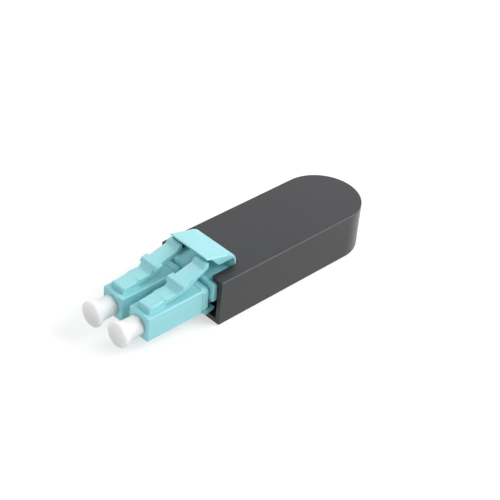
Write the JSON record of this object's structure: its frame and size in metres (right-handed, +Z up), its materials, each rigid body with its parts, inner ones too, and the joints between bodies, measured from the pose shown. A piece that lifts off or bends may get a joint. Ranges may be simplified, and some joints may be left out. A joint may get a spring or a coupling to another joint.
{
  "type": "fibre loopback plug",
  "caption": "Duplex fibre loopback plug: latched connectors under dust caps, a press trigger, and a round-ended housing in which a fibre loop turns the light back.",
  "frame": {"origin": "on the resting plane, below the middle of the whole plug", "axes": "+Y runs from the connectors to the round end of the housing, +Z is up through the roof and the trigger, +X is to the right seen from the connectors"},
  "size_m": [0.0142, 0.0548, 0.0121],
  "materials": {
    "housing_plastic": "fine matt moulding in dark grey",
    "aqua_plastic": "smooth satin aqua",
    "boot_rubber": "soft matt aqua",
    "fibre_jacket": "smooth aqua coating",
    "cap_plastic": "soft translucent white",
    "zirconia": "ground ceramic",
    "nickel_brass": "nickel plated",
    "spring_steel": "drawn wire"
  },
  "bodies": {
    "housing": {"housing_shell": "housing_plastic", "housing_cover": "housing_plastic", "duplex_clip": "aqua_plastic", "plug_body_left": "aqua_plastic", "rear_body_left": "aqua_plastic", "ferrule_spring_left": "spring_steel", "crimp_sleeve_left": "nickel_brass", "boot_left": "boot_rubber", "plug_body_right": "aqua_plastic", "rear_body_right": "aqua_plastic", "ferrule_spring_right": "spring_steel", "crimp_sleeve_right": "nickel_brass", "boot_right": "boot_rubber", "fibre_loop": "fibre_jacket"},
    "trigger": {"trigger": "aqua_plastic"},
    "latch_left": {"latch_left": "aqua_plastic"},
    "ferrule_left": {"ferrule_left": "zirconia", "ferrule_holder_left": "nickel_brass"},
    "dust_cap_left": {"dust_cap_left": "cap_plastic"},
    "latch_right": {"latch_right": "aqua_plastic"},
    "ferrule_right": {"ferrule_right": "zirconia", "ferrule_holder_right": "nickel_brass"},
    "dust_cap_right": {"dust_cap_right": "cap_plastic"}
  },
  "joints": [
    {"name": "trigger_press", "type": "hinge", "parent": "housing", "child": "trigger", "pos_m": [0, -0.0039, 0.00705], "axis": [1, 0, 0], "range_deg": [0, 13], "stiffness_Nm_per_rad": 0.02},
    {"name": "latch_left_bend", "type": "hinge", "parent": "housing", "child": "latch_left", "pos_m": [-0.00313, -0.01875, 0.0078], "axis": [1, 0, 0], "range_deg": [-9.75, 0], "stiffness_Nm_per_rad": 0.01},
    {"name": "ferrule_left_float", "type": "slide", "parent": "housing", "child": "ferrule_left", "axis": [0, 1, 0], "range_m": [0, 0.0008], "stiffness_N_per_m": 500, "springref_m": -0.0005, "deforming": ["ferrule_spring_left"]},
    {"name": "dust_cap_left_pull", "type": "slide", "parent": "housing", "child": "dust_cap_left", "axis": [0, -1, 0], "range_m": [0, 0.006]},
    {"name": "latch_right_bend", "type": "hinge", "parent": "housing", "child": "latch_right", "pos_m": [0.00313, -0.01875, 0.0078], "axis": [1, 0, 0], "range_deg": [-9.75, 0], "stiffness_Nm_per_rad": 0.01},
    {"name": "ferrule_right_float", "type": "slide", "parent": "housing", "child": "ferrule_right", "axis": [0, 1, 0], "range_m": [0, 0.0008], "stiffness_N_per_m": 500, "springref_m": -0.0005, "deforming": ["ferrule_spring_right"]},
    {"name": "dust_cap_right_pull", "type": "slide", "parent": "housing", "child": "dust_cap_right", "axis": [0, -1, 0], "range_m": [0, 0.006]}
  ],
  "couplings": [
    {"joint": "latch_left_bend", "follows": "trigger_press", "ratio": -0.75},
    {"joint": "latch_right_bend", "follows": "trigger_press", "ratio": -0.75}
  ]
}
